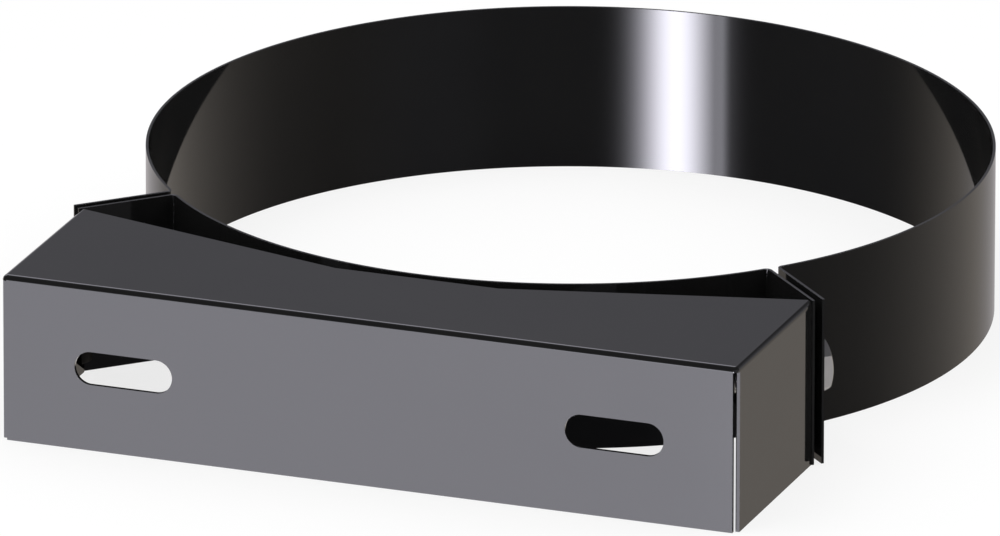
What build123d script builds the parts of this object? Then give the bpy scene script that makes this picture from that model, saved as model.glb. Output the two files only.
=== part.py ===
from build123d import *
import os
from math import cos, radians, sin, sqrt, tan

# Flue pipe wall bracket: a two-part strap clamp for a flue pipe, held off the wall by a box folded from sheet.
# Frame: X runs along the wall plate, Y away from the wall and Z up, in millimetres.
# The origin lies on the flue axis, at the middle of the height.

# Clamp straps
flue_radius = 123.0  # inside of the closed clamp
height = 50.0  # of both straps, and of the box flush with them
strap_thickness = 0.8
strap_bend = 1.0  # inside radius where a strap turns out into its ear
ear_angle = 45.0  # slope of each ear back towards the wall, in degrees
ear_length = 30.0  # from the outside of the ring to the tip of the ear
ear_offset = 7.5  # from the flue axis to the middle of the gap between two ears
ear_gap = 2.3  # between the facing sides of two ears

# Box, folded from one sheet and open below
box_sheet = 1.2
box_bend = 0.4  # inside radius of the folds
wall_distance = 166.5  # flue axis to the face that lies on the wall
ear_lip = 0.25  # how far the saddle's ears reach past the side plates
saddle_gap = 3.0  # from the saddle to the top plate, at the middle
middle_width = 50.0  # straight middle of the top plate's far edge
slot_length = 30.0
slot_width = 10.0
slot_inset = 37.5  # from the middle of a slot to the outside of the nearer side plate

# Weld beads that join the box to the saddle, inside the box
weld_leg = 2.0
weld_crown = 0.4
weld_inset = 3.0  # from the ends of a bead to the edges of the plates

# Clamp bolts and nuts
bolt_diameter = 10.0
bolt_length = 25.0
hole_clearance = 0.5  # between a bolt and the edge of its hole, all round
thread_clearance = 0.05  # between a bolt and the bore of its nut, all round
tip_chamfer = 1.0
across_flats = 16.0
head_height = 6.4
nut_height = 8.4
nut_countersink = 0.5
rim_share = 0.95  # flat end of a hexagon, as a share of its width across flats
rim_angle = 30.0  # slope of a hexagon's turned rim, in degrees

# Places that follow from the sizes above
ring_outside = flue_radius + strap_thickness
ear_reach = ring_outside + ear_length
bolt_reach = (ring_outside + ear_reach) / 2
saddle_ear_top = ear_offset - ear_gap / 2
saddle_ear_seat = saddle_ear_top - strap_thickness
band_ear_bottom = ear_offset + ear_gap / 2
band_ear_seat = band_ear_bottom + strap_thickness
fold = box_bend + box_sheet
wall_y = -wall_distance


def ear_point(along, out, side):
    """Plan point at a distance along an ear and out from the radial plane it is parallel to."""
    turn = radians(ear_angle)
    return Vector(side * (along * cos(turn) + out * sin(turn)), out * cos(turn) - along * sin(turn))


# The side plate's outer corner touches the saddle's ear here
corner = ear_point(ear_reach - ear_lip, saddle_ear_seat, 1)
box_width = 2 * corner.X
side_end = corner.Y


def bend_arc(centre, root, ring_radius):
    """Arc of one surface of a strap, from the root of the ear to the long arc of the ring."""
    radius = (root - centre).length
    middle = ((root - centre).normalized() - centre.normalized()).normalized()
    return ThreePointArc(root, centre + middle * radius, centre.normalized() * ring_radius)


def strap_surface(ring_radius, ear_face, bend_out, away):
    """One surface of a strap in plan: ears, bends and the long arc, which passes x = 0 on the side away."""
    bend_along = sqrt((ring_outside + strap_bend) ** 2 - bend_out**2)
    edges = []
    ring_ends = []
    for side in (-1, 1):
        root = ear_point(bend_along, ear_face, side)
        bend = bend_arc(ear_point(bend_along, bend_out, side), root, ring_radius)
        edges += [Line(ear_point(ear_reach, ear_face, side), root), bend]
        ring_ends.append(bend @ 1)
    edges.append(ThreePointArc(ring_ends[0], (0, away * ring_radius), ring_ends[1]))
    return edges


def strap(seat, facing, away):
    """A strap with an ear at each end: seat is the ear's side under a fastener, facing its other side."""
    bend_out = seat + away * strap_bend
    edges = strap_surface(ring_outside, seat, bend_out, away)
    edges += strap_surface(flue_radius, facing, bend_out, away)
    edges += [Line(ear_point(ear_reach, seat, side), ear_point(ear_reach, facing, side)) for side in (-1, 1)]
    sheet = extrude(make_face(edges), height / 2, both=True)
    drill = Cylinder(bolt_diameter / 2 + hole_clearance, 2 * ear_length)
    return sheet - [bolt_plane(side) * drill for side in (-1, 1)]


def bolt_plane(side):
    """Plane across a bolt's axis: its z points to the bolt head and its x straight up."""
    return Plane(origin=ear_point(bolt_reach, 0, side), x_dir=(0, 0, 1), z_dir=ear_point(0, 1, side))


def flange(length):
    """Upright plate with its fold: x is the depth in from its outside face, y is up, z runs along the fold."""
    top = height / 2
    bend_centre = (fold, top - fold)
    edges = [
        Line((0, -top), (0, top - fold)),
        CenterArc(bend_centre, fold, 90, 90),
        Line((fold, top), (fold, top - box_sheet)),
        CenterArc(bend_centre, box_bend, 90, 90),
        Line((box_sheet, top - fold), (box_sheet, -top)),
        Line((box_sheet, -top), (0, -top)),
    ]
    return extrude(make_face(edges), length)


def top_plate():
    """Flat of the box's top, with the far edge cut back in three straight lines to clear the saddle."""
    side_x = box_width / 2 - fold
    middle_x = middle_width / 2
    middle_y = -(ring_outside + saddle_gap)
    right = [(side_x, wall_y + fold), (side_x, side_end), (middle_x, middle_y)]
    left = [(-x, y) for x, y in reversed(right)]
    outline = make_face(Polyline(*right, *left, close=True))
    return Pos(0, 0, height / 2 - box_sheet) * extrude(outline, box_sheet)


def slot(x):
    """Cutter for one fixing slot in the wall plate."""
    face = Plane(origin=(x, wall_y, 0), x_dir=(1, 0, 0), z_dir=(0, -1, 0))
    return extrude(face * SlotOverall(slot_length, slot_width), 2 * box_sheet, both=True)


def wall_box():
    """Top, wall and side plates of one folded sheet, open below, at the far side and down its corners."""
    wall_length = box_width - 2 * fold
    wall_plane = Plane(origin=(-wall_length / 2, wall_y, 0), x_dir=(0, 1, 0), z_dir=(1, 0, 0))
    side_plane = Plane(origin=(box_width / 2, wall_y + fold, 0), x_dir=(-1, 0, 0), z_dir=(0, 1, 0))
    side = side_plane * flange(side_end - wall_y - fold)
    sheet = top_plate() + wall_plane * flange(wall_length) + side + mirror(side, Plane.YZ)
    slot_x = box_width / 2 - slot_inset
    return sheet - [slot(-slot_x), slot(slot_x)]


def weld_right():
    """Bead in the groove between the right side plate's end and the saddle's ear, inside the box."""
    inner_x = box_width / 2 - box_sheet
    on_ear = ear_reach - ear_lip - box_sheet / cos(radians(ear_angle)) - weld_leg
    ear_toe = ear_point(on_ear, saddle_ear_seat, 1)
    plate_toe = Vector(inner_x, side_end - weld_leg)
    edges = [
        Polyline(plate_toe, (inner_x, side_end), corner, ear_toe),
        SagittaArc(plate_toe, ear_toe, weld_crown),
    ]
    bottom = -height / 2 + weld_inset
    length = height - fold - 2 * weld_inset
    return Pos(0, 0, bottom) * extrude(make_face(edges), length)


def hexagon(thickness):
    """Hexagonal block on z = 0, with a corner on x and its top rim turned."""
    corner_radius = across_flats / sqrt(3)
    rim_radius = rim_share * across_flats / 2
    drop = (corner_radius - rim_radius) * tan(radians(rim_angle))
    rim = [(corner_radius, thickness - drop), (rim_radius, thickness)]
    profile = Polyline((0, 0), (corner_radius, 0), *rim, (0, thickness), close=True)
    turned = revolve(Plane.XZ * make_face(profile), Axis.Z)
    return turned & extrude(RegularPolygon(across_flats / 2, 6, major_radius=False), thickness)


def bolt(side):
    """Hexagon bolt: its head bears on the band's ear and its shank points to the wall."""
    shank = Pos(0, 0, -bolt_length / 2) * Cylinder(bolt_diameter / 2, bolt_length)
    shank = chamfer(shank.edges().group_by(Axis.Z)[0], tip_chamfer)
    return bolt_plane(side) * Pos(0, 0, band_ear_seat) * (hexagon(head_height) + shank)


def nut(side):
    """Hexagon nut under the saddle's ear, with a plain bore countersunk at both ends."""
    bore_radius = bolt_diameter / 2 + thread_clearance
    block = hexagon(nut_height) & mirror(hexagon(nut_height), Plane.XY.offset(nut_height / 2))
    block -= Pos(0, 0, nut_height / 2) * Cylinder(bore_radius, nut_height)
    bore_ends = block.edges().filter_by(GeomType.CIRCLE).group_by(SortBy.RADIUS)[0]
    block = chamfer(bore_ends, nut_countersink)
    return bolt_plane(side) * Pos(0, 0, saddle_ear_seat - nut_height) * block


def build():
    """Every piece by the name of its node."""
    weld = weld_right()
    return {
        "wall_box": wall_box(),
        "saddle": strap(saddle_ear_seat, saddle_ear_top, -1),
        "clamp_band": strap(band_ear_seat, band_ear_bottom, 1),
        "weld_left": mirror(weld, Plane.YZ),
        "weld_right": weld,
        "bolt_left": bolt(-1),
        "bolt_right": bolt(1),
        "nut_left": nut(-1),
        "nut_right": nut(1),
    }


os.makedirs("parts", exist_ok=True)
for name, piece in build().items():
    export_step(piece, f"parts/{name}.step")
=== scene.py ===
import logging
import math
from collections.abc import Iterable
from dataclasses import dataclass, field
from enum import Enum
from typing import Any

import bmesh
import bpy
from bmesh.types import BMEdge, BMVert
from bpy.types import Material, NodeSocket, Object, World
from mathutils import Matrix, Vector


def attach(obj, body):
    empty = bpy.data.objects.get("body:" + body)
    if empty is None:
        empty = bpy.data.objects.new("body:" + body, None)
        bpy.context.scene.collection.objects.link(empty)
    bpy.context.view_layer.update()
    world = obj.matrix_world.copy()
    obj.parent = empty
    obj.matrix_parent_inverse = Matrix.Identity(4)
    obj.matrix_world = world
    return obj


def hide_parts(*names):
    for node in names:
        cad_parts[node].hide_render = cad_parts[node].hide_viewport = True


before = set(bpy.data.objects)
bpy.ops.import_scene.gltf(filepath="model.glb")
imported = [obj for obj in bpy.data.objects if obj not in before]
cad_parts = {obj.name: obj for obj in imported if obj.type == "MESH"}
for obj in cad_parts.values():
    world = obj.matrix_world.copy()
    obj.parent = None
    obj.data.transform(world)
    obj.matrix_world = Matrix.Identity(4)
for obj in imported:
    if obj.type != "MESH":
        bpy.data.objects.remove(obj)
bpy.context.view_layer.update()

LOG = logging.getLogger("flue_bracket")
WHITE = (1, 1, 1, 1)
MILLIMETRE = 0.001
ORIGIN = Vector((0, 0, 0))
UP = Vector((0, 0, 1))
FULL_TURN = 2 * math.pi
QUARTER_TURN = math.pi / 2

# Points closer than SAME are one, and lengths that differ by less than NEAR are equal, in millimetres
SAME = 0.0001
NEAR = 0.001

Pair = tuple[float, float]
Triple = tuple[float, float, float]
Value = "Socket | float"


class Join(Enum):
    """How one form acts on another."""

    DIFFERENCE = "DIFFERENCE"
    INTERSECT = "INTERSECT"


class Side(Enum):
    """Left or right half of the bracket, as the sign of x."""

    LEFT = -1
    RIGHT = 1

    @property
    def word(self) -> str:
        """Name of the side, as the nodes and bodies spell it."""
        return self.name.lower()


class Strap(Enum):
    """The two straps of the clamp, as the sign of y on each one's side of the gap."""

    SADDLE = -1
    BAND = 1


class Socket:
    """One output of a shader node, on which arithmetic adds Math nodes."""

    def __init__(self, graph: "Graph", port: NodeSocket | None) -> None:
        """Wrap an output port of a graph."""
        self.graph = graph
        self.port = port

    def _math(self, operation: str, first: Value, second: Value) -> "Socket":
        """Result of a new Math node on two values."""
        inputs = {"Value": first, "Value_001": second}
        return self.graph.node("ShaderNodeMath", {"operation": operation}, inputs)

    def __add__(self, other: Value) -> "Socket":
        """Sum."""
        return self._math("ADD", self, other)

    def __radd__(self, other: float) -> "Socket":
        """Sum, number first."""
        return self._math("ADD", other, self)

    def __sub__(self, other: Value) -> "Socket":
        """Difference."""
        return self._math("SUBTRACT", self, other)

    def __rsub__(self, other: float) -> "Socket":
        """Difference, number first."""
        return self._math("SUBTRACT", other, self)

    def __mul__(self, other: Value) -> "Socket":
        """Product."""
        return self._math("MULTIPLY", self, other)

    def __rmul__(self, other: float) -> "Socket":
        """Product, number first."""
        return self._math("MULTIPLY", other, self)

    def __pow__(self, other: Value) -> "Socket":
        """Power."""
        return self._math("POWER", self, other)

    def __rpow__(self, other: float) -> "Socket":
        """Power of a plain number."""
        return self._math("POWER", other, self)

    def larger(self, other: Value) -> "Socket":
        """The larger of two values."""
        return self._math("MAXIMUM", self, other)

    def sine(self) -> "Socket":
        """Sine of an angle in radians."""
        return self._math("SINE", self, 0.0)

    def ease(self, low: float, high: float, start: float = 0.0, end: float = 1.0) -> "Socket":
        """Smooth step from start to end, while this value goes from low to high."""
        limits = {"Value": self, "From Min": low, "From Max": high, "To Min": start, "To Max": end}
        return self.graph.node("ShaderNodeMapRange", {"interpolation_type": "SMOOTHSTEP"}, limits, "Result")

    def along(self, direction: Triple) -> "Socket":
        """Length of this vector along a direction."""
        inputs = {"Vector": self, "Vector_001": direction}
        return self.graph.node("ShaderNodeVectorMath", {"operation": "DOT_PRODUCT"}, inputs, "Value")

    def distance(self, point: Triple) -> "Socket":
        """Distance of this position from a point."""
        inputs = {"Vector": self, "Vector_001": point}
        return self.graph.node("ShaderNodeVectorMath", {"operation": "DISTANCE"}, inputs, "Value")


class Graph:
    """The node tree of a material or of the world, filled from expressions."""

    def __init__(self, owner: Material | World) -> None:
        """Empty the owner's tree.

        Args:
            owner: Material or world that is to be written.
        """
        owner.use_nodes = True
        self.tree = owner.node_tree
        self.tree.nodes.clear()
        self.is_world = isinstance(owner, World)

    def node(
        self, kind: str, settings: dict[str, Any] | None = None, inputs: dict[str, Any] | None = None,
        output: str = "",
    ) -> Socket:
        """Add one node.

        Args:
            kind: Type name of the node.
            settings: Its properties, which are set before its sockets.
            inputs: A value or a link for each socket, by identifier or name.
            output: Identifier or name of the output that is wanted, or nothing for the first.

        Returns:
            The wanted output, without a port on a node that has none.
        """
        made = self.tree.nodes.new(kind)
        for name, value in (settings or {}).items():
            setattr(made, name, value)
        for name, value in (inputs or {}).items():
            port = self._port(made.inputs, name)
            if isinstance(value, Socket):
                self.tree.links.new(value.port, port)
            else:
                port.default_value = value
        wanted = self._port(made.outputs, output) if output else next(iter(made.outputs), None)
        return Socket(self, wanted)

    @staticmethod
    def _port(ports: Iterable[NodeSocket], name: str) -> NodeSocket:
        """Socket with this identifier, or else the first enabled one with this name."""
        by_name = [port for port in ports if port.name == name and port.enabled]
        return ([port for port in ports if port.identifier == name] + by_name)[0]

    def place(self) -> Socket:
        """Position on the object, in metres from its origin."""
        return self.node("ShaderNodeTexCoord", output="Object")

    def noise(self, at: Socket, size: float, detail: float, roughness: float = 0.5) -> Socket:
        """Cloudy noise from 0 to 1 at a position, with its coarsest grain of a size in metres."""
        inputs = {"Vector": at, "Scale": 1 / size, "Detail": detail, "Roughness": roughness}
        return self.node("ShaderNodeTexNoise", None, inputs)

    def bump(self, height: Socket, depth: float) -> Socket:
        """Normal of a surface with a fine relief of a given depth, in metres."""
        inputs = {"Strength": 1.0, "Distance": depth, "Height": height}
        return self.node("ShaderNodeBump", None, inputs)

    def blend(self, share: Socket, first: Triple, second: Triple) -> Socket:
        """Mix of two colours, with this share of the second."""
        inputs = {"Factor_Float": share, "A_Color": (*first, 1), "B_Color": (*second, 1)}
        return self.node("ShaderNodeMix", {"data_type": "RGBA"}, inputs, "Result_Color")

    def seen(self) -> Socket:
        """Whether the camera sees it, by itself or in gloss or glass.

        Returns:
            1 for such a ray, and 0 for soft light.
        """
        found = [
            self.node("ShaderNodeLightPath", output=name)
            for name in ("Is Camera Ray", "Is Glossy Ray", "Is Transmission Ray")
        ]
        return found[0].larger(found[1]).larger(found[2])

    def close(self, surface: Socket) -> None:
        """Link the finished surface to the tree's output."""
        kind = "ShaderNodeOutputWorld" if self.is_world else "ShaderNodeOutputMaterial"
        self.node(kind, None, {"Surface": surface})


@dataclass(frozen=True)
class GlossBlack:
    """Stoved gloss black enamel on sheet steel, with its sizes in metres."""

    dark: Triple = (0.0068, 0.0068, 0.0072)
    light: Triple = (0.0102, 0.0101, 0.0098)
    cloud_size: float = 0.03
    roughness: float = 0.03
    roughness_spread: float = 0.03
    peel_size: float = 0.0024
    peel_fineness: float = 0.35
    peel_depth: float = 0.0000006
    speck_size: float = 0.00035
    speck_edge: Pair = (0.70, 0.80)
    speck_roughness: float = 0.05
    refraction: float = 1.5
    gloss: float = 0.5

    def material(self, name: str) -> Material:
        """Write the enamel's nodes: a deep black with a faint orange peel and a few dull specks.

        Args:
            name: Name of the material.

        Returns:
            The material.
        """
        made = bpy.data.materials.new(name)
        graph = Graph(made)
        place = graph.place()
        cloud = graph.noise(place, self.cloud_size, detail=3.0)
        specks = graph.noise(place, self.speck_size, detail=1.0).ease(*self.speck_edge)
        peel = graph.noise(place, self.peel_size, detail=1.0, roughness=self.peel_fineness)
        inputs = {
            "Base Color": graph.blend(cloud, self.dark, self.light),
            "Roughness": self.roughness + cloud * self.roughness_spread + specks * self.speck_roughness,
            "IOR": self.refraction,
            "Specular IOR Level": self.gloss,
            "Normal": graph.bump(peel, self.peel_depth),
        }
        graph.close(graph.node("ShaderNodeBsdfPrincipled", None, inputs))
        return made


@dataclass(frozen=True)
class ZincPlate:
    """Electroplated zinc on a cold-formed fastener, turned round its axis, with its sizes in metres."""

    axis: Triple
    centre: Triple
    dull: Triple = (0.58, 0.58, 0.55)
    bright: Triple = (0.66, 0.66, 0.63)
    cloud_size: float = 0.004
    grain_size: float = 0.0005
    fineness: float = 0.6
    roughness: float = 0.24
    roughness_spread: float = 0.16
    mark_pitch: float = 0.00022
    mark_wander: float = 2.0
    mark_share: float = 0.3
    relief_depth: float = 0.000003

    def material(self, name: str) -> Material:
        """Write the plating's nodes: clouded zinc with a fine grain and turned marks.

        Args:
            name: Name of the material.

        Returns:
            The material.
        """
        made = bpy.data.materials.new(name)
        graph = Graph(made)
        place = graph.place()
        cloud = graph.noise(place, self.cloud_size, detail=4.0, roughness=self.fineness)
        grain = graph.noise(place, self.grain_size, detail=3.0, roughness=self.fineness)
        height = place.along(self.axis) - Vector(self.axis).dot(Vector(self.centre))
        reach = place.distance(self.centre)
        radius = (reach * reach - height * height).larger(0.0) ** 0.5
        phase = radius * (FULL_TURN / self.mark_pitch) + cloud * self.mark_wander
        marks = phase.sine() * 0.5 + 0.5
        relief = grain * (1 - self.mark_share) + marks * self.mark_share
        inputs = {
            "Base Color": graph.blend(cloud, self.dull, self.bright),
            "Metallic": 1.0,
            "Roughness": self.roughness + grain * self.roughness_spread,
            "Normal": graph.bump(relief, self.relief_depth),
        }
        graph.close(graph.node("ShaderNodeBsdfPrincipled", None, inputs))
        return made


def only(kind: type, parts: Iterable[Any]) -> list[Any]:
    """The points, or the edges, among the parts that an operator gives back."""
    return [part for part in parts if isinstance(part, kind)]


class Form:
    """A mesh in the making, in millimetres."""

    def __init__(self) -> None:
        """Start empty."""
        self.mesh = bmesh.new()

    @classmethod
    def wire(cls, points: Iterable[Triple], closed: bool = False) -> "Form":
        """Line through a few points.

        Args:
            points: The points in order.
            closed: Whether the last point joins the first.

        Returns:
            The form.
        """
        form = cls()
        corners = [form.mesh.verts.new(point) for point in points]
        pairs = list(zip(corners, corners[1:] + corners[:1], strict=True))
        for start, end in pairs if closed else pairs[:-1]:
            form.mesh.edges.new((start, end))
        return form

    @classmethod
    def lathe(cls, profile: Iterable[Pair], steps: int) -> "Form":
        """Body turned round z.

        Args:
            profile: Radius and height of each point, from axis to axis.
            steps: Number of facets round the turn.

        Returns:
            The closed form.
        """
        form = cls.wire([(radius, 0.0, height) for radius, height in profile])
        form.spun(form.mesh.edges, ORIGIN, FULL_TURN, steps, closed=True)
        return form.tidy()

    @classmethod
    def prism(cls, sides: int, radius: float, bottom: float, top: float) -> "Form":
        """Upright prism with a corner on x.

        Args:
            sides: Number of sides.
            radius: Radius of the corners.
            bottom: Height of its base.
            top: Height of its upper end.

        Returns:
            The closed form.
        """
        form = cls()
        made = bmesh.ops.create_circle(form.mesh, cap_ends=True, segments=sides, radius=radius)
        first = made["verts"][0].co
        turn = Matrix.Rotation(-math.atan2(first.y, first.x), 4, "Z")
        return form.placed(Matrix.Translation((0, 0, bottom)) @ turn).raised(top - bottom)

    def placed(self, matrix: Matrix) -> "Form":
        """Move the whole form by a matrix."""
        bmesh.ops.transform(self.mesh, matrix=matrix, verts=self.mesh.verts[:])
        return self

    def raised(self, height: float) -> "Form":
        """Pull a flat form straight up into a closed body.

        Args:
            height: How far up, in millimetres.

        Returns:
            This form.
        """
        made = bmesh.ops.extrude_face_region(self.mesh, geom=self.mesh.faces[:])
        bmesh.ops.translate(self.mesh, verts=only(BMVert, made["geom"]), vec=UP * height)
        return self.cap().tidy()

    def cap(self) -> "Form":
        """Close every open end with one face.

        Returns:
            This form.
        """
        rims = [edge for edge in self.mesh.edges if edge.is_boundary]
        bmesh.ops.holes_fill(self.mesh, edges=rims, sides=0)
        return self

    def tidy(self, reach: float = SAME) -> "Form":
        """Merge doubled points, and turn every face outwards.

        Args:
            reach: How near two points may be before they are one, in millimetres.

        Returns:
            This form.
        """
        bmesh.ops.remove_doubles(self.mesh, verts=self.mesh.verts[:], dist=reach)
        bmesh.ops.dissolve_degenerate(self.mesh, edges=self.mesh.edges[:], dist=reach)
        bmesh.ops.recalc_face_normals(self.mesh, faces=self.mesh.faces[:])
        return self

    def flattened(self, length: float, flatter_than: float = 0.05) -> "Form":
        """Merge faces that lie in one plane and share an edge of a given length.

        Args:
            length: Length of the edges, in millimetres.
            flatter_than: Angle in degrees under which two faces lie in one plane.

        Returns:
            This form.
        """
        limit = math.radians(flatter_than)
        level = [edge for edge in self.mesh.edges if edge.is_manifold and abs(edge.calc_length() - length) < NEAR]
        flat = [edge for edge in level if edge.calc_face_angle() < limit]
        bmesh.ops.dissolve_edges(self.mesh, edges=flat, use_verts=False)
        return self

    def rounded(self, width: float, sharper_than: float = 40.0) -> "Form":
        """Round every edge at which two faces meet sharply.

        Args:
            width: Width of the rounding, in millimetres.
            sharper_than: Least angle between the two faces, in degrees.

        Returns:
            This form.
        """
        limit = math.radians(sharper_than)
        sharp = [edge for edge in self.mesh.edges if edge.is_manifold and edge.calc_face_angle() > limit]
        return self.bevelled(sharp, width, segments=2, affect="EDGES")

    def bevelled(self, parts: list[Any], width: float, segments: int, affect: str) -> "Form":
        """Bevel some edges or corners to a round.

        Args:
            parts: The edges or corners.
            width: Width of the rounding, in millimetres.
            segments: Number of facets across it.
            affect: EDGES or VERTICES.

        Returns:
            This form.
        """
        bmesh.ops.bevel(
            self.mesh, geom=parts, offset=width, offset_type="OFFSET", segments=segments,
            profile=0.5, affect=affect, clamp_overlap=True, material=-1,
        )
        return self

    def spun(
        self, edges: Iterable[BMEdge], centre: Vector, angle: float, steps: int,
        axis: Vector = UP, rise: float = 0.0, closed: bool = False,
    ) -> list[BMEdge]:
        """Carry edges round an axis, and leave faces behind them.

        Args:
            edges: The edges to carry.
            centre: A point on the axis.
            angle: Angle of the turn in radians.
            steps: Number of facets.
            axis: Direction of the axis.
            rise: How far each facet climbs along z.
            closed: Whether the end of the turn meets its start.

        Returns:
            The edges at the end of the turn.
        """
        edges = list(edges)
        corners = dict.fromkeys(corner for edge in edges for corner in edge.verts)
        made = bmesh.ops.spin(
            self.mesh, geom=[*corners, *edges], cent=centre, axis=axis, dvec=UP * rise,
            angle=angle, steps=steps, use_merge=closed, use_duplicate=False,
        )
        return only(BMEdge, made["geom_last"])

    def joined(self, other: "Form", how: Join) -> "Form":
        """Combine this form with another.

        Args:
            other: The form that acts on this one, which stays as it is.
            how: Difference or intersection.

        Returns:
            This form.
        """
        base, tool = self.shown("base"), other.shown("tool")
        boolean = base.modifiers.new("join", "BOOLEAN")
        boolean.object = tool
        boolean.operation = how.value
        boolean.solver = "EXACT"
        depsgraph = bpy.context.evaluated_depsgraph_get()
        depsgraph.update()
        result = base.evaluated_get(depsgraph)
        self.mesh.clear()
        self.mesh.from_mesh(result.to_mesh())
        result.to_mesh_clear()
        for scratch in (base, tool):
            bpy.data.meshes.remove(scratch.data)
        bmesh.ops.remove_doubles(self.mesh, verts=self.mesh.verts[:], dist=SAME)
        return self

    def shown(self, name: str) -> Object:
        """Put a copy of this form into the scene.

        Args:
            name: Name of the object.

        Returns:
            The object. It goes again when its mesh is removed.
        """
        data = bpy.data.meshes.new(name)
        self.mesh.to_mesh(data)
        made = bpy.data.objects.new(name, data)
        bpy.context.scene.collection.objects.link(made)
        return made

    def piece(self, name: str, material: Material, crease: float = 35.0) -> Object:
        """Turn the form into a finished object of the scene, in metres.

        Args:
            name: Name of the object.
            material: Its finish.
            crease: Angle from which an edge stays sharp, in degrees.

        Returns:
            The object, at the origin.
        """
        self.placed(Matrix.Scale(MILLIMETRE, 4))
        for face in self.mesh.faces:
            face.smooth = True
        for edge in self.mesh.edges:
            edge.smooth = edge.is_manifold and edge.calc_face_angle() < math.radians(crease)
        made = self.shown(name)
        self.mesh.free()
        made.data.materials.append(material)
        shading = made.modifiers.new("even_gloss", "WEIGHTED_NORMAL")
        shading.mode = "FACE_AREA"
        shading.keep_sharp = True
        LOG.info("%s: %d faces", name, len(made.data.polygons))
        return made


@dataclass
class Sweep:
    """Carries a section, or one edge of a sheet, along straight runs and arcs."""

    form: Form
    front: list[BMEdge]

    def run(self, way: Vector) -> None:
        """Carry the section straight on.

        Args:
            way: The way it goes.
        """
        made = bmesh.ops.extrude_edge_only(self.form.mesh, edges=self.front)["geom"]
        moved = only(BMVert, made)
        bmesh.ops.translate(self.form.mesh, verts=moved, vec=way)
        ends = set(moved)
        self.front = [edge for edge in only(BMEdge, made) if ends.issuperset(edge.verts)]

    def turn(self, centre: Vector, angle: float, steps: int, axis: Vector = UP) -> None:
        """Carry the section round an axis through a point, by an angle in radians, anticlockwise."""
        self.front = self.form.spun(self.front, centre, angle, steps, axis)


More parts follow.
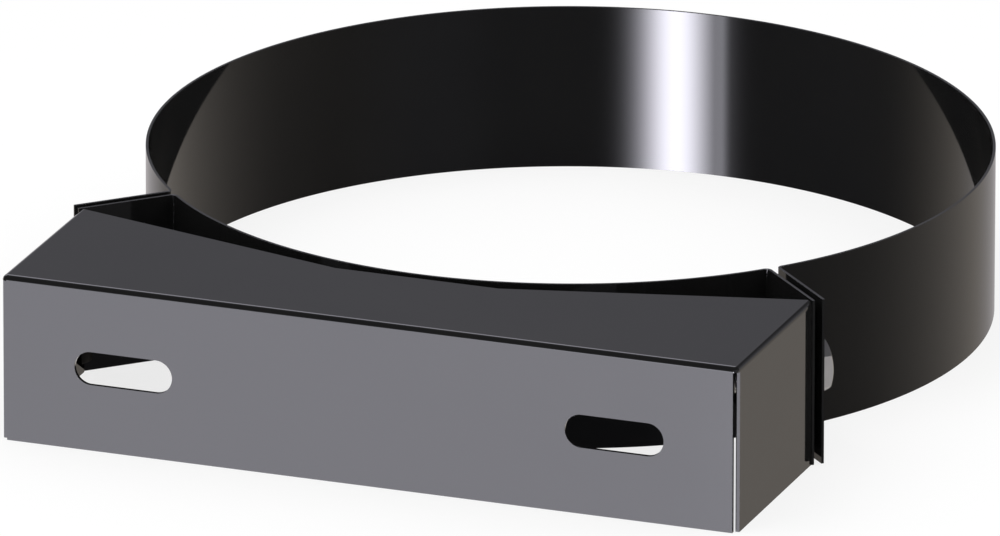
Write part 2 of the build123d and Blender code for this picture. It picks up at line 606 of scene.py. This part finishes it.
@dataclass
class Clamp:
    """The two straps round the flue, and the layout of their ears, in millimetres."""

    flue_radius: float = 123.0
    height: float = 50.0
    thickness: float = 0.8
    bend_radius: float = 1.0
    bend_facets: int = 8
    ear_angle: float = 45.0
    ear_length: float = 30.0
    ear_offset: float = 7.5
    ear_gap: float = 2.3
    hole_radius: float = 5.5
    hole_facets: int = 64
    drill_reach: float = 20.0
    sheared_edge: float = 0.04
    drilled_edge: float = 0.05
    facet: float = 1.25

    @property
    def outside(self) -> float:
        """Radius of the outside of the ring."""
        return self.flue_radius + self.thickness

    @property
    def ear_reach(self) -> float:
        """Distance of an ear's tip from the flue axis, along the ear."""
        return self.outside + self.ear_length

    @property
    def bolt_reach(self) -> float:
        """Distance of a bolt's axis from the flue axis, along the ear."""
        return (self.outside + self.ear_reach) / 2

    def seat(self, strap: Strap) -> float:
        """Offset of the ear face under a bolt head or a nut."""
        return self.ear_offset + strap.value * (self.ear_gap / 2 + self.thickness)

    def ear_point(self, along: float, out: float, side: Side) -> Vector:
        """Point in plan at a distance along an ear, and out from the radial line that it is parallel to.

        Args:
            along: Distance from the flue axis along the ear.
            out: Offset across the ear, away from the wall.
            side: Half of the bracket.

        Returns:
            The point.
        """
        turn = math.radians(self.ear_angle)
        x = side.value * (along * math.cos(turn) + out * math.sin(turn))
        return Vector((x, out * math.cos(turn) - along * math.sin(turn), 0))

    def bolt_plane(self, side: Side) -> Matrix:
        """Plane across a bolt: z runs along the bolt towards its head, and x straight up.

        Args:
            side: Half of the bracket.

        Returns:
            The matrix that carries a form there.
        """
        along = self.ear_point(0, 1, side)
        across = along.cross(UP)
        turned = Matrix((UP, across, along)).transposed().to_4x4()
        return Matrix.Translation(self.ear_point(self.bolt_reach, 0, side)) @ turned

    def _section(self, at: Vector, across: Vector) -> Form:
        """Outline of the sheet, standing upright, with rounded edges.

        Args:
            at: Middle of the sheet in plan.
            across: Unit vector through the sheet.

        Returns:
            The outline, as edges alone.
        """
        form = Form()
        bmesh.ops.create_grid(form.mesh, x_segments=1, y_segments=1, size=0.5)
        form.placed(Matrix.Diagonal((self.thickness, self.height, 1, 1)))
        form.bevelled(form.mesh.verts[:], self.sheared_edge, segments=3, affect="VERTICES")
        bmesh.ops.delete(form.mesh, geom=form.mesh.faces[:], context="FACES_ONLY")
        turned = Matrix((across, UP, across.cross(UP))).transposed().to_4x4()
        return form.placed(Matrix.Translation(at) @ turned)

    def strap(self, which: Strap) -> Form:
        """One strap: its ears, its bends and the long arc, with a bolt hole in each ear.

        Args:
            which: Saddle or band.

        Returns:
            The closed form.
        """
        middle = self.seat(which) - which.value * self.thickness / 2
        bend_out = self.seat(which) + which.value * self.bend_radius
        bend_along = math.sqrt((self.outside + self.bend_radius) ** 2 - bend_out**2)
        left, right = (self.ear_point(bend_along, bend_out, side) for side in Side)
        left_root, right_root = (self.ear_point(bend_along, middle, side) for side in Side)
        run = self.ear_reach - bend_along
        start = self.ear_point(self.ear_reach, middle, Side.LEFT)
        section = self._section(start, self.ear_point(0, 1, Side.LEFT))
        arc = self._angle(left, right)
        if which is Strap.BAND:
            arc -= FULL_TURN
        sweep = Sweep(section, section.mesh.edges[:])
        sweep.run(-self.ear_point(run, 0, Side.LEFT))
        sweep.turn(left, self._angle(left_root - left, -left), self.bend_facets)
        sweep.turn(ORIGIN, arc, math.ceil(abs(math.degrees(arc)) / self.facet))
        sweep.turn(right, self._angle(-right, right_root - right), self.bend_facets)
        sweep.run(self.ear_point(run, 0, Side.RIGHT))
        section.cap().tidy()
        for side in Side:
            drill = Form.prism(self.hole_facets, self.hole_radius, -self.drill_reach, self.drill_reach)
            section.joined(drill.placed(self.bolt_plane(side)), Join.DIFFERENCE)
        return section.rounded(self.drilled_edge)

    @staticmethod
    def _angle(first: Vector, second: Vector) -> float:
        """Angle in plan from one vector to another, anticlockwise, within half a turn either way."""
        return math.atan2(first.x * second.y - first.y * second.x, first.dot(second))


@dataclass
class WallBox:
    """The standoff box, folded from one sheet, open below and towards the flue, in millimetres."""

    clamp: Clamp
    sheet: float = 1.2
    fold_inside: float = 0.4
    fold_facets: int = 12
    wall_distance: float = 166.5
    ear_lip: float = 0.25
    saddle_gap: float = 3.0
    middle_width: float = 50.0
    slot_length: float = 30.0
    slot_width: float = 10.0
    slot_inset: float = 37.5
    slot_facets: int = 96
    cutter_depth: float = 8.0
    sheared_edge: float = 0.02

    @property
    def corner(self) -> Vector:
        """Outer corner of the right side plate, where it touches the saddle's ear."""
        along = self.clamp.ear_reach - self.ear_lip
        return self.clamp.ear_point(along, self.clamp.seat(Strap.SADDLE), Side.RIGHT)

    @property
    def fold(self) -> float:
        """Outside radius of a fold."""
        return self.sheet + self.fold_inside

    def sheet_form(self) -> Form:
        """Fold the sheet: top plate, wall plate and side plates, with a slot at each side of the wall plate.

        Returns:
            The closed form.
        """
        top = self.clamp.height / 2
        side_x, wall_y = self.corner.x - self.fold, -self.wall_distance + self.fold
        middle = (self.middle_width / 2, -(self.clamp.outside + self.saddle_gap))
        right = [(side_x, wall_y), (side_x, self.corner.y), middle]
        outline = [*right, *[(-x, y) for x, y in reversed(right)]]
        form = Form.wire([(x, y, top) for x, y in outline], closed=True)
        folds = [edge for edge in form.mesh.edges if self._is_fold(edge, side_x, wall_y)]
        bmesh.ops.contextual_create(form.mesh, geom=form.mesh.edges[:])
        for edge in folds:
            self._flange(form, edge)
        for side in Side:
            self._turned_corner(form, Vector((side.value * side_x, wall_y, top)), side)
        form.tidy(NEAR)
        if max(form.mesh.faces, key=lambda face: face.calc_center_median().z).normal.z < 0:
            bmesh.ops.reverse_faces(form.mesh, faces=form.mesh.faces[:])
        bmesh.ops.solidify(form.mesh, geom=form.mesh.faces[:], thickness=self.sheet)
        form.tidy().flattened(self.sheet)
        for side in Side:
            form.joined(self._slot(side), Join.DIFFERENCE)
        return form.rounded(self.sheared_edge)

    @staticmethod
    def _is_fold(edge: BMEdge, side_x: float, wall_y: float) -> bool:
        """Whether an edge of the top plate's outline is one that a flange hangs from.

        Args:
            edge: The edge.
            side_x: Where the folds of the side plates begin, from the middle.
            wall_y: Where the fold of the wall plate begins.

        Returns:
            True for the three folded edges.
        """
        first, second = (corner.co for corner in edge.verts)
        on_wall = max(abs(first.y - wall_y), abs(second.y - wall_y)) < NEAR
        on_side = abs(abs(first.x) - side_x) < NEAR and abs(first.x - second.x) < NEAR
        return on_wall or on_side

    def _flange(self, form: Form, edge: BMEdge) -> None:
        """Fold one flange down from an edge of the top plate.

        Args:
            form: The sheet so far, without its thickness.
            edge: Edge of the top plate.
        """
        first, second = (corner.co.copy() for corner in edge.verts)
        inside = Vector((0, (self.corner.y - self.wall_distance) / 2, 0))
        axis = (second - first).normalized()
        if axis.cross(UP).dot((first + second) / 2 - inside) < 0:
            axis = -axis
        sweep = Sweep(form, [edge])
        sweep.turn(first - UP * self.fold, QUARTER_TURN, self.fold_facets, axis)
        sweep.run(UP * (self.fold - self.clamp.height))

    def _turned_corner(self, form: Form, corner: Vector, side: Side) -> None:
        """Carry the wall plate's fold round a corner of the top plate's flat, to the side plate's fold."""
        ends = [edge for edge in form.mesh.edges if self._ends_fold(edge, corner)]
        Sweep(form, ends).turn(corner, side.value * QUARTER_TURN, self.fold_facets)

    def _ends_fold(self, edge: BMEdge, corner: Vector) -> bool:
        """Whether an edge lies on the end of the wall plate's fold, at a corner of the top plate."""
        offsets = [point.co - corner for point in edge.verts]
        return all(abs(offset.x) < NEAR and -self.fold - NEAR < offset.z and offset.y < NEAR for offset in offsets)

    def _slot(self, side: Side) -> Form:
        """Cutter for one fixing slot.

        Args:
            side: Half of the bracket.

        Returns:
            The closed form.
        """
        radius = self.slot_width / 2
        form = Form()
        made = bmesh.ops.create_circle(form.mesh, cap_ends=True, segments=self.slot_facets, radius=radius)
        form.placed(Matrix.Rotation(math.pi / self.slot_facets, 4, "Z"))
        for half in (-1, 1):
            moved = [corner for corner in made["verts"] if corner.co.x * half > 0]
            bmesh.ops.translate(form.mesh, verts=moved, vec=(half * (self.slot_length / 2 - radius), 0, 0))
        x = side.value * (self.corner.x - self.slot_inset)
        upright = Matrix.Rotation(QUARTER_TURN, 4, "X")
        centred = Matrix.Translation((x, self.cutter_depth / 2 - self.wall_distance, 0))
        return form.raised(self.cutter_depth).placed(centred @ upright)


@dataclass
class WeldBead:
    """Bead in the groove between a side plate and the saddle's ear, in millimetres."""

    box: WallBox
    leg: float = 2.0
    crown: float = 0.4
    end_crown: float = 0.55
    end_length: float = 1.2
    inset: float = 3.0
    face_cuts: int = 9
    ripple_pitch: float = 1.3
    ripple_depth: float = 0.05
    ripple_curve: float = 0.55
    step: float = 0.26

    @property
    def bottom(self) -> float:
        """Height of the bead's lower end."""
        return -self.box.clamp.height / 2 + self.inset

    @property
    def length(self) -> float:
        """Length of the bead."""
        return self.box.clamp.height - self.box.fold - 2 * self.inset

    def form(self, side: Side) -> Form:
        """Lay the bead, with its ripples.

        Args:
            side: Half of the bracket.

        Returns:
            The closed form.
        """
        clamp, box = self.box.clamp, self.box
        inner_x = box.corner.x - box.sheet
        slope = math.radians(clamp.ear_angle)
        along = clamp.ear_reach - box.ear_lip - box.sheet / math.cos(slope) - self.leg
        ear_toe = clamp.ear_point(along, clamp.seat(Strap.SADDLE), Side.RIGHT)
        plate_toe = Vector((inner_x, box.corner.y - self.leg, 0))
        outline = [plate_toe, Vector((inner_x, box.corner.y, 0)), box.corner, ear_toe]
        form = Form.wire([(point.x, point.y, self.bottom) for point in outline], closed=True)
        face = [edge for edge in form.mesh.edges if self._spans(edge, plate_toe, ear_toe)]
        bmesh.ops.subdivide_edges(form.mesh, edges=face, cuts=self.face_cuts)
        sweep = Sweep(form, form.mesh.edges[:])
        steps = round(self.length / self.step)
        for _ in range(steps):
            sweep.run(UP * (self.length / steps))
        form.cap().tidy()
        self._swell(form, plate_toe, ear_toe)
        if side is Side.LEFT:
            form.placed(Matrix.Scale(-1, 4, (1, 0, 0))).tidy()
        return form

    @staticmethod
    def _spans(edge: BMEdge, first: Vector, second: Vector) -> bool:
        """Whether an edge runs between two points in plan."""
        ends = [corner.co.xy for corner in edge.verts]
        return all(min((end - point.xy).length for end in ends) < NEAR for point in (first, second))

    def _swell(self, form: Form, first: Vector, second: Vector) -> None:
        """Crown the bead's face and ripple it.

        Args:
            form: The bead, with a flat face.
            first: One toe in plan.
            second: The other toe.
        """
        chord = (second - first).xy
        out = Vector((-chord.y, chord.x)).normalized()
        if out.dot(first.xy - self.box.corner.xy) < 0:
            out = -out
        for corner in form.mesh.verts:
            offset = corner.co.xy - first.xy
            share = offset.dot(chord) / chord.length_squared
            if abs(offset.dot(out)) > NEAR or not 0 < share < 1:
                continue
            rise = 4 * share * (1 - share)
            up = corner.co.z - self.bottom
            wave = abs(math.sin(math.pi * (up / self.ripple_pitch + self.ripple_curve * rise)))
            end = min(1.0, up / self.end_length, (self.length - up) / self.end_length)
            crown = self.crown * (self.end_crown + (1 - self.end_crown) * end)
            lift = rise * (crown - self.ripple_depth * wave)
            corner.co.x += out.x * lift
            corner.co.y += out.y * lift


@dataclass
class ThreadCut:
    """Right-hand metric coarse thread, in millimetres."""

    pitch: float = 1.5
    crest_radius: float = 4.97
    root_radius: float = 4.17
    crest: float = 0.19
    root: float = 0.38
    facets: int = 48
    turns_before: float = 1.5
    turns_after: int = 2

    def rod(self, start: float, end: float, growth: float = 0.0) -> Form:
        """Threaded rod along z.

        Args:
            start: Height of its lower end.
            end: Height of its upper end.
            growth: How far the thread is grown outwards, to cut the matching bore.

        Returns:
            The closed form.
        """
        flank = (self.pitch - self.crest - self.root) / 2
        base = math.floor(start / self.pitch - self.turns_before) * self.pitch
        profile = [
            (self.crest_radius, 0.0),
            (self.crest_radius, self.crest),
            (self.root_radius, self.crest + flank),
            (self.root_radius, self.pitch - flank),
            (self.crest_radius, self.pitch),
        ]
        form = Form.wire([(radius + growth, 0.0, base + height) for radius, height in profile])
        turns = math.ceil((end - base) / self.pitch) + self.turns_after
        facet_rise = self.pitch / self.facets
        form.spun(form.mesh.edges, ORIGIN, FULL_TURN * turns, turns * self.facets, rise=facet_rise)
        bmesh.ops.remove_doubles(form.mesh, verts=form.mesh.verts[:], dist=NEAR)
        for height, way in ((start, -1), (end, 1)):
            whole = form.mesh.verts[:] + form.mesh.edges[:] + form.mesh.faces[:]
            bmesh.ops.bisect_plane(
                form.mesh, geom=whole, dist=SAME / 10, plane_co=UP * height, plane_no=UP * way, clear_outer=True
            )
        return form.cap().tidy()


@dataclass
class Fastener:
    """Hexagon bolt and nut of one ear, in millimetres along the bolt's axis."""

    clamp: Clamp
    side: Side
    thread: ThreadCut = field(default_factory=ThreadCut)
    thread_play: float = 0.08
    bolt_length: float = 25.0
    tip_radius: float = 4.0
    across_flats: float = 16.0
    head_height: float = 6.4
    nut_height: float = 8.4
    countersink: float = 1.5
    rim_share: float = 0.95
    rim_angle: float = 30.0
    edge_radius: float = 0.1
    sharp_edge: float = 50.0
    rim_facets: int = 96
    bore_facets: int = 64
    shank_overlap: float = 0.5
    overrun: float = 1.0

    def bolt(self) -> Form:
        """Bolt with its head on the band's ear.

        Returns:
            The form, of a head and a threaded shank.
        """
        seat = self.clamp.seat(Strap.BAND)
        tip = seat - self.bolt_length
        head = self._hexagon(seat, seat + self.head_height, (1,))
        rod = self.thread.rod(tip, seat + self.shank_overlap)
        for corner in rod.mesh.verts:
            share = min(1.0, (self.tip_radius + corner.co.z - tip) / corner.co.xy.length)
            corner.co.x *= share
            corner.co.y *= share
        shank = rod.shown("shank").data
        head.mesh.from_mesh(shank)
        bpy.data.meshes.remove(shank)
        return head.placed(self.clamp.bolt_plane(self.side))

    def nut(self) -> Form:
        """Nut under the saddle's ear.

        Returns:
            The form, with a threaded bore.
        """
        top = self.clamp.seat(Strap.SADDLE)
        bottom = top - self.nut_height
        form = self._hexagon(bottom, top, (-1, 1))
        tap = self.thread.rod(bottom - 2 * self.overrun, top + 2 * self.overrun, self.thread_play)
        form.joined(tap, Join.DIFFERENCE)
        bore = self.thread.crest_radius + self.thread_play
        for end, way in ((bottom, 1), (top, -1)):
            deep, clear = end + self.countersink * way, end - self.overrun * way
            profile = [(0.0, clear), (bore + self.countersink, clear), (bore - self.overrun, deep), (0.0, deep)]
            form.joined(Form.lathe(profile, self.bore_facets), Join.DIFFERENCE)
        return form.placed(self.clamp.bolt_plane(self.side))

    def _hexagon(self, bottom: float, top: float, rims: tuple[int, ...]) -> Form:
        """Hexagonal block with turned rims and rounded edges.

        Args:
            bottom: Height of its lower end.
            top: Height of its upper end.
            rims: Ends that are turned: 1 for the upper one and -1 for the lower one.

        Returns:
            The closed form.
        """
        corner = self.across_flats / math.sqrt(3)
        rim = self.rim_share * self.across_flats / 2
        wide = corner + self.overrun
        drop = (wide - rim) * math.tan(math.radians(self.rim_angle))
        lower = [(0.0, bottom), (rim, bottom), (wide, bottom + drop)]
        upper = [(wide, top - drop), (rim, top), (0.0, top)]
        if -1 not in rims:
            lower = [(0.0, bottom - self.overrun), (wide, bottom - self.overrun)]
        if 1 not in rims:
            upper = [(wide, top + self.overrun), (0.0, top + self.overrun)]
        turned = Form.lathe([*lower, *upper], self.rim_facets)
        block = Form.prism(6, corner, bottom, top).joined(turned, Join.INTERSECT)
        return block.tidy().rounded(self.edge_radius, self.sharp_edge)

    def finish(self) -> ZincPlate:
        """Zinc plating, with its turned marks round this bolt's axis."""
        centre = self.clamp.ear_point(self.clamp.bolt_reach, 0, self.side) * MILLIMETRE
        return ZincPlate(tuple(self.clamp.ear_point(0, 1, self.side)), tuple(centre))


def stage(name: str, form: Form, material: Material, unseen_by: Iterable[str]) -> None:
    """Add one piece of the stage.

    Args:
        name: Name of the object.
        form: Its mesh, in metres.
        material: Its material.
        unseen_by: Kinds of ray that pass it by.
    """
    made = form.shown(name)
    form.mesh.free()
    made.data.materials.append(material)
    for ray in unseen_by:
        setattr(made, f"visible_{ray}", False)


@dataclass(frozen=True)
class Way:
    """Direction from the middle of the tent: x and y in plan, and the sine of its elevation as the height."""

    x: Socket
    y: Socket
    height: Socket


@dataclass(frozen=True)
class Glow:
    """Soft patch on the tent, round an azimuth in degrees.

    Its edge runs between two cosines of the angle to that azimuth, from the level around it to its own.
    """

    azimuth: float
    edge: Pair
    level: float = 1.0
    around: float = 0.0

    def at(self, way: Way) -> Socket:
        """Level in one direction."""
        turn = math.radians(self.azimuth)
        return (way.x * math.cos(turn) + way.y * math.sin(turn)).ease(*self.edge, self.around, self.level)


@dataclass(frozen=True)
class Belt:
    """Ring round the tent between two heights, with the soft edge at each of them."""

    lower: Pair
    upper: Pair

    def at(self, way: Way) -> Socket:
        """1 inside the ring and 0 outside it."""
        return way.height.ease(*self.lower) * (1 - way.height.ease(*self.upper))


@dataclass
class Tent:
    """Tent round the studio, which shows only in gloss.

    A height on it is the sine of the elevation, and an azimuth is in degrees from x. A soft edge is given by
    where it begins and ends, and by the levels there where they aren't 0 and 1.
    """

    radius: float = 40.0
    strength: float = 1.1
    least_reach: float = 0.0001
    second_bounce: Pair = (1.2, 1.8)
    second_share: float = 0.1
    cool: Triple = (0.91, 0.90, 1.0)
    warm: Triple = (1.0, 0.91, 0.82)
    warm_up_to: Pair = (-0.05, 0.15)
    warm_from: Pair = (-0.55, 0.05)
    cooler_behind: Glow = Glow(115, (0.7, 1.0), 0.45, 1.0)
    front: Glow = Glow(50, (0.35, 1.0), 0.155, 0.068)
    behind: Glow = Glow(105, (-0.05, 0.85))
    behind_level: float = 0.464
    low_patches: tuple[Glow, ...] = (Glow(-26, (0.9, 1.0), 0.05), Glow(129, (0.955, 1.0), 0.11))
    upper_start: Pair = (-0.05, 0.53)
    upper_level: float = 0.06
    rear: Glow = Glow(130, (0.75, 0.95))
    rear_level: float = 0.165
    rear_card: float = 0.3
    rear_card_start: Pair = (0.365, 0.42)
    flank: Glow = Glow(-45, (0.3, 0.8), 0.4)
    flank_end: Pair = (0.5, 0.7)
    roof_level: float = 0.08
    roof_start: Pair = (0.8, 0.9)
    card_belt: Belt = Belt((0.44, 0.52), (0.78, 0.88))
    card_level: float = 1.9
    horizon_belt: Belt = Belt((-0.315, -0.27), (0.1, 0.2))
    horizon_boxes: tuple[Glow, ...] = (
        Glow(150, (0.80, 0.98), 1.1),
        Glow(22, (0.85, 0.99), 0.9),
        Glow(-35, (0.9, 0.99), 0.35),
    )
    ground_end: Pair = (-0.40, -0.362)
    ground_start: tuple[float, float, float, float] = (-0.62, -0.50, 0.12, 1.0)
    ground_across: tuple[float, float, float, float] = (-1.0, 1.0, 0.4, 0.8)
    ground_gap: Glow = Glow(27, (0.75, 0.97), 0.12, 1.0)
    strip_belt: Belt = Belt((-0.8, -0.6), (-0.1, 0.1))
    strip_azimuth: float = -98.8
    strip_width: float = 8.3
    strip_level: float = 25.3
    shoulder_azimuth: float = -110.9
    shoulder_half_width: float = 1.1
    strip_end: Pair = (-115.0, -112.2)
    strip_end_share: float = 0.45

    def build(self) -> None:
        """Hang the tent."""
        made = bpy.data.materials.new("tent")
        made.cycles.emission_sampling = "NONE"
        graph = Graph(made)
        place = graph.node("ShaderNodeVectorMath", {"operation": "NORMALIZE"}, {"Vector": graph.place()}, "Vector")
        height = place.along((0, 0, 1))
        spread = (1 - height * height).larger(self.least_reach) ** -0.5
        way = Way(place.along((1, 0, 0)) * spread, place.along((0, 1, 0)) * spread, height)
        bounce = graph.node("ShaderNodeLightPath", output="Glossy Depth")
        bounce = bounce.ease(*self.second_bounce, 1.0, self.second_share)
        light = self._walls(way) + self._strip(way) + self._ground(way) + self._horizon(way)
        inputs = {"Color": self._tint(way), "Strength": light * bounce * self.strength}
        graph.close(graph.node("ShaderNodeEmission", None, inputs))
        form = Form()
        bmesh.ops.create_uvsphere(form.mesh, u_segments=48, v_segments=24, radius=self.radius)
        stage("tent", form, made, ("camera", "diffuse", "transmission", "volume_scatter", "shadow"))

    def _walls(self, way: Way) -> Socket:
        """Brightness of the walls: low down, above the horizon, and of the card high up at the rear.

        Args:
            way: Direction of the place.

        Returns:
            The brightness.
        """
        front, rear, height = self.front.at(way), self.rear.at(way), way.height
        low = front + (self.behind_level - front) * self.behind.at(way)
        for patch in self.low_patches:
            low = low + patch.at(way)
        high = self.upper_level + self.rear_level * rear
        high = high + self.rear_card * rear * height.ease(*self.rear_card_start)
        high = high + self.flank.at(way) * (1 - height.ease(*self.flank_end))
        wall = low + (high - low) * height.ease(*self.upper_start)
        wall = wall + (self.roof_level - wall) * height.ease(*self.roof_start)
        return wall + self.card_belt.at(way) * rear * self.card_level

    def _horizon(self, way: Way) -> Socket:
        """Broad soft boxes that stand at the height of the bracket, at its sides and behind it."""
        first, *others = (box.at(way) for box in self.horizon_boxes)
        return self.horizon_belt.at(way) * sum(others, first)

    def _ground(self, way: Way) -> Socket:
        """Light that comes up from the floor, with a gap on the right."""
        belt = (1 - way.height.ease(*self.ground_end)) * way.height.ease(*self.ground_start)
        return belt * way.x.ease(*self.ground_across) * self.ground_gap.at(way)

    def _tint(self, way: Way) -> Socket:
        """Colour of the light: warm low down and behind, and cool elsewhere."""
        warmth = (1 - way.height.ease(*self.warm_up_to)) * way.y.ease(*self.warm_from) * self.cooler_behind.at(way)
        return way.x.graph.blend(warmth, self.cool, self.warm)

    def _strip(self, way: Way) -> Socket:
        """Tall strip lamp with soft sides and a short even shoulder.

        Args:
            way: Direction of the place.

        Returns:
            The lamp's brightness.
        """
        graph = way.x.graph
        turn = graph.node("ShaderNodeMath", {"operation": "ARCTAN2"}, {"Value": way.y, "Value_001": way.x})
        half = math.radians(self.shoulder_half_width)
        inputs = {"Value": turn - math.radians(self.shoulder_azimuth), "Min": -half, "Max": half}
        even = turn - graph.node("ShaderNodeClamp", None, inputs)
        across = (even - (math.radians(self.strip_azimuth) - half)) * (1 / math.radians(self.strip_width))
        start, end = (math.radians(azimuth) for azimuth in self.strip_end)
        cut = turn.ease(start, end, self.strip_end_share, 1.0)
        return math.e ** (across * across * -1.0) * self.strip_level * cut * self.strip_belt.at(way)


@dataclass(frozen=True)
class SoftLamp:
    """Square lamp that points at the bracket, in metres and watts."""

    name: str
    place: Triple
    size: float
    power: float

    def hang(self) -> None:
        """Hang the lamp, unseen by the camera and by gloss."""
        data = bpy.data.lights.new(self.name, "AREA")
        data.shape = "SQUARE"
        data.size = self.size
        data.energy = self.power
        made = bpy.data.objects.new(self.name, data)
        made.location = self.place
        made.rotation_euler = (-Vector(self.place)).to_track_quat("-Z", "Y").to_euler()
        made.visible_glossy = False
        made.visible_camera = False
        bpy.context.scene.collection.objects.link(made)


@dataclass
class Studio:
    """Pale floor, soft lamps, tent and world, in metres."""

    floor_height: float = -0.025
    floor_size: float = 6.0
    floor_colour: Triple = (0.93, 0.93, 0.93)
    floor_glow: float = 0.80
    shadow_centre: Pair = (0.0, -0.02)
    shadow_edge: Pair = (0.16, 0.34)
    world_level: float = 0.75
    tent: Tent = field(default_factory=Tent)
    lamps: tuple[SoftLamp, ...] = (
        SoftLamp("key_lamp", (-0.9, -0.7, 2.0), 1.6, 18.0),
        SoftLamp("fill_lamp", (1.3, 0.5, 1.8), 1.8, 12.0),
    )

    def build(self) -> None:
        """Set up the floor, the tent, the world and the lamps."""
        self._floor()
        self.tent.build()
        self._world()
        for lamp in self.lamps:
            lamp.hang()

    def _floor(self) -> None:
        """Floor that keeps the object's shadow and is plain white further out."""
        made = bpy.data.materials.new("floor")
        graph = Graph(made)
        distance = graph.place().distance((*self.shadow_centre, self.floor_height))
        white_share = distance.ease(*self.shadow_edge, self.floor_glow, 1.0)
        matt = graph.node("ShaderNodeBsdfDiffuse", None, {"Color": (*self.floor_colour, 1)})
        white = graph.node("ShaderNodeEmission", None, {"Color": WHITE, "Strength": 1.0})
        inputs = {"Fac": white_share * graph.seen(), "Shader": matt, "Shader_001": white}
        graph.close(graph.node("ShaderNodeMixShader", None, inputs))
        form = Form()
        bmesh.ops.create_grid(form.mesh, x_segments=4, y_segments=4, size=self.floor_size / 2)
        stage("floor", form.placed(Matrix.Translation((0, 0, self.floor_height))), made, ["glossy"])

    def _world(self) -> None:
        """White where the camera sees it, and a plain level for soft light."""
        world = bpy.data.worlds.new("studio")
        bpy.context.scene.world = world
        graph = Graph(world)
        strength = self.world_level + (1 - self.world_level) * graph.seen()
        inputs = {"Color": WHITE, "Strength": strength}
        graph.close(graph.node("ShaderNodeBackground", None, inputs))


@dataclass
class LongLens:
    """Camera at the photograph's angle, far off behind a long lens, in degrees and millimetres."""

    azimuth: float = 20.488
    elevation: float = 19.400
    roll: float = 0.084
    distance: float = 7200.0
    aim_right: float = -20.546
    aim_up: float = -12.895
    lens: float = 888.93
    sensor: float = 36.0
    near: float = 100.0
    far: float = 30000.0

    def build(self) -> None:
        """Create the camera and make it the scene's own."""
        azimuth, elevation, roll = (math.radians(angle) for angle in (self.azimuth, self.elevation, self.roll))
        right = Vector((math.cos(azimuth), math.sin(azimuth), 0))
        ahead = UP.cross(right) * math.cos(elevation) - UP * math.sin(elevation)
        upwards = right.cross(ahead)
        place = -ahead * self.distance + right * self.aim_right + upwards * self.aim_up
        across = right * math.cos(roll) + upwards * math.sin(roll)
        data = bpy.data.cameras.new("long_lens")
        data.lens = self.lens
        data.sensor_width = self.sensor
        data.clip_start = self.near * MILLIMETRE
        data.clip_end = self.far * MILLIMETRE
        made = bpy.data.objects.new("long_lens", data)
        turned = Matrix((across, across.cross(ahead), -ahead)).transposed().to_4x4()
        made.matrix_world = Matrix.Translation(place * MILLIMETRE) @ turned
        bpy.context.scene.collection.objects.link(made)
        bpy.context.scene.camera = made


@dataclass
class FlueBracket:
    """The whole bracket: its pieces, and the bodies and nodes that they go with."""

    clamp: Clamp = field(default_factory=Clamp)
    enamel: GlossBlack = GlossBlack()
    enamel_on_weld: GlossBlack = GlossBlack(roughness=0.5, peel_size=0.0008, peel_depth=0.000004, gloss=0.15)

    def build(self) -> None:
        """Build every piece and hand it to its body."""
        black = self.enamel.material("gloss_black")
        bead_black = self.enamel_on_weld.material("weld_black")
        box = WallBox(self.clamp)
        self._add(box.sheet_form().piece("box_sheet", black), "bracket", "wall_box", "gloss_black")
        saddle = self.clamp.strap(Strap.SADDLE).piece("saddle_strap", black)
        self._add(saddle, "bracket", "saddle", "gloss_black")
        band = self.clamp.strap(Strap.BAND).piece("band_strap", black)
        self._add(band, "bracket", "clamp_band", "gloss_black")
        bead = WeldBead(box)
        for side in Side:
            word = side.word
            weld = bead.form(side).piece(f"weld_bead_{word}", bead_black)
            self._add(weld, "bracket", f"weld_{word}", "gloss_black")
            fastener = Fastener(self.clamp, side)
            zinc = fastener.finish().material(f"zinc_steel_{word}")
            bolt = fastener.bolt().piece(f"hex_bolt_{word}", zinc)
            self._add(bolt, f"{word}_bolt", f"bolt_{word}", "zinc_steel")
            nut = fastener.nut().piece(f"hex_nut_{word}", zinc)
            self._add(nut, f"{word}_nut", f"nut_{word}", "zinc_steel")

    @staticmethod
    def _add(piece: Object, body: str, node: str, finish: str) -> None:
        """Hand a piece to its body, in place of its node.

        Args:
            piece: The finished object.
            body: Body that it moves with.
            node: CAD node that it stands for.
            finish: Material slot of the record. Not used.
        """
        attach(piece, body)
        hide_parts(node)


def main() -> None:
    """Build the camera, the studio and the bracket."""
    logging.basicConfig(level=logging.INFO, format="%(name)s: %(message)s")
    bpy.context.scene.view_settings.view_transform = "Standard"
    LongLens().build()
    Studio().build()
    FlueBracket().build()


if __name__ == "__main__":
    main()
